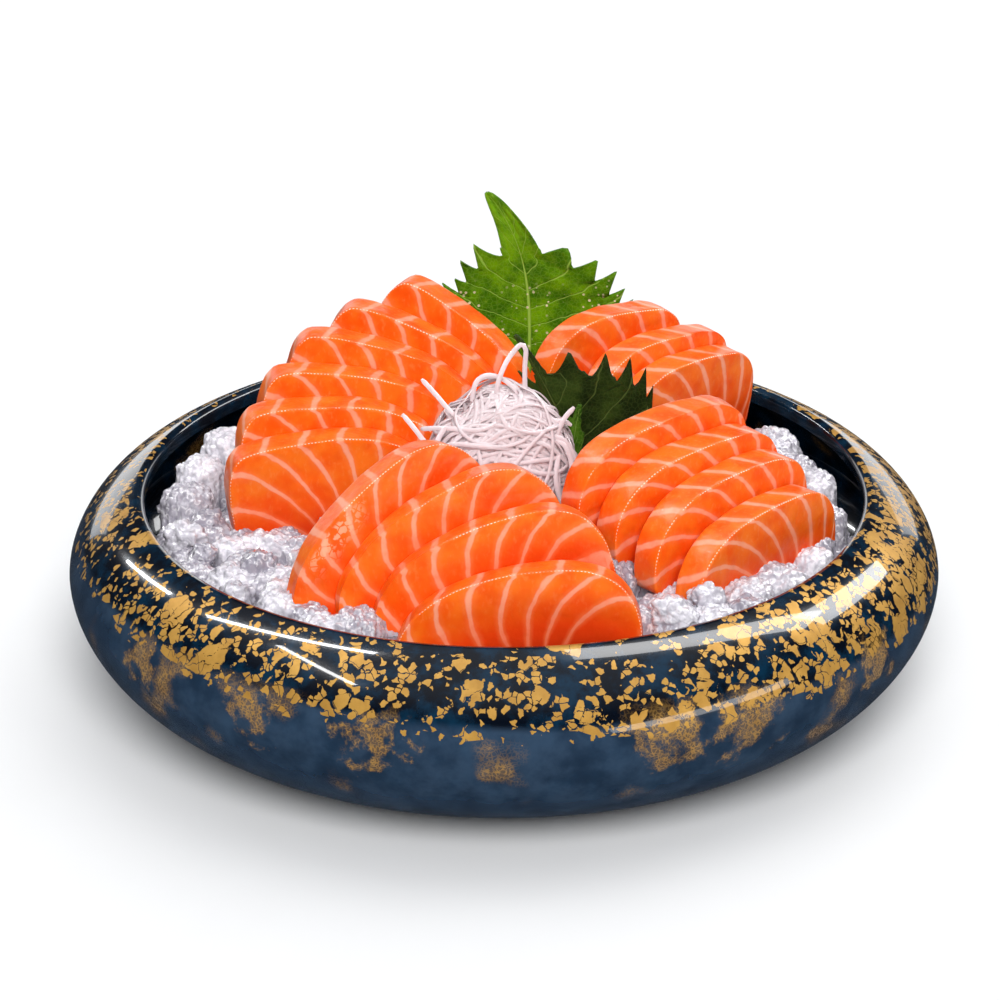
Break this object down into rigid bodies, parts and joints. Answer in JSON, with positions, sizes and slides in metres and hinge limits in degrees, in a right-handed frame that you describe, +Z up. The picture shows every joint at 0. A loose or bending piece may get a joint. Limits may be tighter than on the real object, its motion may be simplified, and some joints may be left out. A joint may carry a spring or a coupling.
{
  "type": "sashimi plate",
  "caption": "Round rolled-rim bowl with a navy and gold glaze, filled with crushed ice, salmon sashimi in fans, shiso leaves and shredded daikon.",
  "frame": {"origin": "under the bowl's centre, on the surface that it stands on", "axes": "+Z up; -Y towards the front slice of the fan nearest the viewer; +X to the right of it"},
  "size_m": [0.28, 0.28, 0.1325],
  "materials": {
    "glaze": "glossy navy glaze with scattered gold flecks on stoneware",
    "ice": "wet, clumped crushed ice",
    "salmon": "moist raw salmon with pale fat lines",
    "shiso_bright": "fresh leaf, satin",
    "shiso_dark": "fresh leaf, satin, darker side",
    "daikon": "moist translucent shreds"
  },
  "bodies": {
    "root": {"bowl": "glaze", "ice_heap": "ice", "slice_a1": "salmon", "slice_a2": "salmon", "slice_a3": "salmon", "slice_a4": "salmon", "slice_a5": "salmon", "slice_a6": "salmon", "slice_b1": "salmon", "slice_b2": "salmon", "slice_b3": "salmon", "slice_b4": "salmon", "slice_c1": "salmon", "slice_c2": "salmon", "slice_c3": "salmon", "slice_c4": "salmon", "slice_d1": "salmon", "slice_d2": "salmon", "slice_d3": "salmon", "shiso_leaf_tall": "shiso_bright", "shiso_leaf_dark": "shiso_dark", "shiso_leaf_small": "shiso_bright", "daikon_heap": "daikon"}
  },
  "joints": []
}
